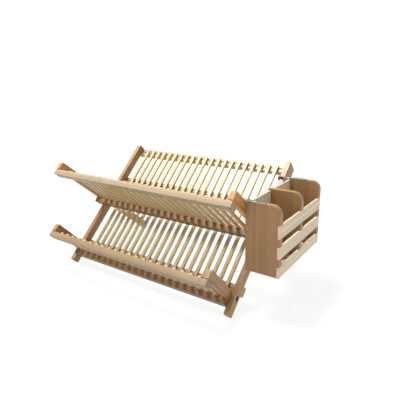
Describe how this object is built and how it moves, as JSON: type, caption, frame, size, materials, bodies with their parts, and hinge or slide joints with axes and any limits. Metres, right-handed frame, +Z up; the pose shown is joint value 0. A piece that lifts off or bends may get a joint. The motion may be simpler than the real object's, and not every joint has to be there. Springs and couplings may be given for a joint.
{
  "type": "dish drying rack",
  "caption": "Folding bamboo dish rack: a slatted main frame crossed by a hinged slatted frame, a fold-up lower shelf and a lift-off cutlery box.",
  "frame": {"origin": "middle of the footprint of the whole object at rest, on the surface it stands on", "axes": "+X to the right, towards the cutlery box; +Y to the rear; +Z up"},
  "size_m": [0.503, 0.3186, 0.2321],
  "materials": {
    "bamboo_rail": "satin lacquered bamboo",
    "bamboo_batten": "satin lacquered bamboo",
    "bamboo_slat": "satin lacquered bamboo",
    "bamboo_panel": "satin lacquered bamboo",
    "bamboo_wall": "satin lacquered bamboo",
    "hook_steel": "satin",
    "pin_steel": "satin",
    "screw_steel": "satin"
  },
  "bodies": {
    "main_frame": {"main_rail_left": "bamboo_rail", "hinge_pin_left": "pin_steel", "shelf_pin_left": "pin_steel", "main_rail_right": "bamboo_rail", "hinge_pin_right": "pin_steel", "shelf_pin_right": "pin_steel", "main_batten_lower": "bamboo_batten", "main_batten_middle": "bamboo_batten", "main_batten_top": "bamboo_batten", "main_slats_1": "bamboo_slat", "main_slats_2": "bamboo_slat", "main_slats_3": "bamboo_slat", "main_slats_4": "bamboo_slat", "main_slats_5": "bamboo_slat", "main_slats_6": "bamboo_slat", "main_slats_7": "bamboo_slat", "main_frame_screws": "screw_steel"},
    "cross_frame": {"cross_rail_left": "bamboo_rail", "cross_rail_right": "bamboo_rail", "cross_batten_stop": "bamboo_batten", "cross_batten_front": "bamboo_batten", "cross_slats_1": "bamboo_slat", "cross_slats_2": "bamboo_slat", "cross_slats_3": "bamboo_slat", "cross_slats_4": "bamboo_slat", "cross_slats_5": "bamboo_slat", "cross_slats_6": "bamboo_slat", "cross_slats_7": "bamboo_slat", "cross_slats_8": "bamboo_slat", "cross_frame_screws": "screw_steel"},
    "shelf": {"shelf_rail_left": "bamboo_rail", "shelf_rail_right": "bamboo_rail", "shelf_batten_rear": "bamboo_batten", "shelf_batten_front": "bamboo_batten", "shelf_slats_1": "bamboo_slat", "shelf_slats_2": "bamboo_slat", "shelf_slats_3": "bamboo_slat", "shelf_slats_4": "bamboo_slat", "shelf_slats_5": "bamboo_slat", "shelf_slats_6": "bamboo_slat", "shelf_slats_7": "bamboo_slat", "shelf_screws": "screw_steel"},
    "cutlery_box": {"box_hook_front": "hook_steel", "box_hook_rear": "hook_steel", "box_panel_front": "bamboo_panel", "box_divider": "bamboo_panel", "box_panel_rear": "bamboo_panel", "box_outer_slat_1": "bamboo_wall", "box_outer_slat_2": "bamboo_wall", "box_outer_slat_3": "bamboo_wall", "box_inner_slat_1": "bamboo_wall", "box_inner_slat_2": "bamboo_wall", "box_inner_slat_3": "bamboo_wall", "box_inner_slat_4": "bamboo_wall", "box_floor_front": "bamboo_panel", "box_floor_rear": "bamboo_panel", "box_hook_screws": "screw_steel"}
  },
  "joints": [
    {"name": "cross_frame_fold", "type": "hinge", "parent": "main_frame", "child": "cross_frame", "pos_m": [-0.03155, 0.02407, 0.1174], "axis": [1, 0, 0], "range_deg": [-96.6, 0]},
    {"name": "shelf_fold", "type": "hinge", "parent": "main_frame", "child": "shelf", "pos_m": [-0.03155, -0.07562, 0.02764], "axis": [1, 0, 0], "range_deg": [-90, 0]},
    {"name": "box_lift", "type": "slide", "parent": "main_frame", "child": "cutlery_box", "axis": [0, 0, 1], "range_m": [0, 0.3967]}
  ],
  "couplings": [
    {"joint": "box_lift", "follows": "cross_frame_fold", "m_per_rad": -0.235}
  ]
}
